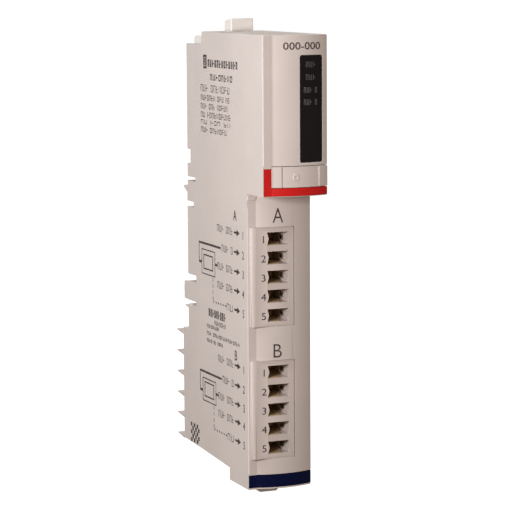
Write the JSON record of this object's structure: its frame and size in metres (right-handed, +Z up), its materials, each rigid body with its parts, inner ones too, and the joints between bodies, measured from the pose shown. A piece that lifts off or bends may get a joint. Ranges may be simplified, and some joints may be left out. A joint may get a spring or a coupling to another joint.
{
  "type": "plc module",
  "caption": "Slim plug-on output module for a rail-mounted control island: two-shell housing with bowed front, display window, wiring sockets, rear contacts and sprung latches.",
  "frame": {"origin": "on the rear seating face between the second and third fin spaces' ribs, at mid-width: where the module meets its mounting base", "axes": "+Y out of the back towards the base, +Z up along the module's length, +X across its width to the right seen from the front"},
  "size_m": [0.018, 0.0654, 0.1268],
  "materials": {
    "shell_plastic": "finely textured warm light grey thermoplastic",
    "socket_plastic": "satin warm light grey thermoplastic",
    "latch_plastic": "satin light grey thermoplastic",
    "smoked_window": "glossy smoked plastic",
    "red_plastic": "satin red plastic",
    "blue_plastic": "satin dark blue plastic",
    "black_plastic": "moulded epoxy and thermoplastic",
    "clear_plastic": "clear moulded plastic",
    "circuit_board": "green solder mask on glass epoxy",
    "varistor_coating": "dipped blue coating",
    "contact_brass": "stamped, lightly dulled",
    "tinned_contact": "tin plated",
    "spring_steel": "drawn wire",
    "aluminium": "mill finish"
  },
  "bodies": {
    "module": {"base_stripe": "blue_plastic", "bottom_latch_spring": "spring_steel", "bus_asic": "black_plastic", "bus_connector": "black_plastic", "bus_contact_1": "tinned_contact", "bus_contact_2": "tinned_contact", "bus_contact_3": "tinned_contact", "bus_contact_4": "tinned_contact", "bus_contact_5": "tinned_contact", "bus_contact_6": "tinned_contact", "electrolytic_capacitor": "black_plastic", "fuse_a": "black_plastic", "fuse_b": "black_plastic", "head_bezel": "shell_plastic", "heat_spreader": "aluminium", "housing_body": "shell_plastic", "id_stripe": "red_plastic", "isolation_transformer": "black_plastic", "label_clip": "shell_plastic", "led_1": "clear_plastic", "led_2": "clear_plastic", "led_3": "clear_plastic", "led_4": "clear_plastic", "led_board": "circuit_board", "led_window": "smoked_window", "light_guide": "clear_plastic", "lower_front_panel": "shell_plastic", "main_board": "circuit_board", "optocoupler_a": "black_plastic", "optocoupler_b": "black_plastic", "output_triac_a": "black_plastic", "output_triac_b": "black_plastic", "power_contact_1": "contact_brass", "power_contact_2": "contact_brass", "power_contact_3": "contact_brass", "power_contact_4": "contact_brass", "power_contact_5": "contact_brass", "rear_contact_carrier": "socket_plastic", "side_cover": "shell_plastic", "terminal_block_a": "socket_plastic", "terminal_block_b": "socket_plastic", "terminal_contact_a1": "contact_brass", "terminal_contact_a2": "contact_brass", "terminal_contact_a3": "contact_brass", "terminal_contact_a4": "contact_brass", "terminal_contact_a5": "contact_brass", "terminal_contact_b1": "contact_brass", "terminal_contact_b2": "contact_brass", "terminal_contact_b3": "contact_brass", "terminal_contact_b4": "contact_brass", "terminal_contact_b5": "contact_brass", "top_latch_spring": "spring_steel", "varistor_a": "varistor_coating", "varistor_b": "varistor_coating"},
    "top_latch": {"top_latch": "latch_plastic"},
    "bottom_latch": {"bottom_latch": "latch_plastic"}
  },
  "joints": [
    {"name": "top_latch_press", "type": "hinge", "parent": "module", "child": "top_latch", "pos_m": [0, -0.0338, 0.09508], "axis": [-1, 0, 0], "range_deg": [0, 4], "stiffness_Nm_per_rad": 1.2, "springref_deg": -2.86, "deforming": ["top_latch_spring"]},
    {"name": "bottom_latch_press", "type": "hinge", "parent": "module", "child": "bottom_latch", "pos_m": [0, -0.0436, -0.01912], "axis": [1, 0, 0], "range_deg": [0, 5], "stiffness_Nm_per_rad": 0.6, "springref_deg": -2.86, "deforming": ["bottom_latch_spring"]}
  ]
}
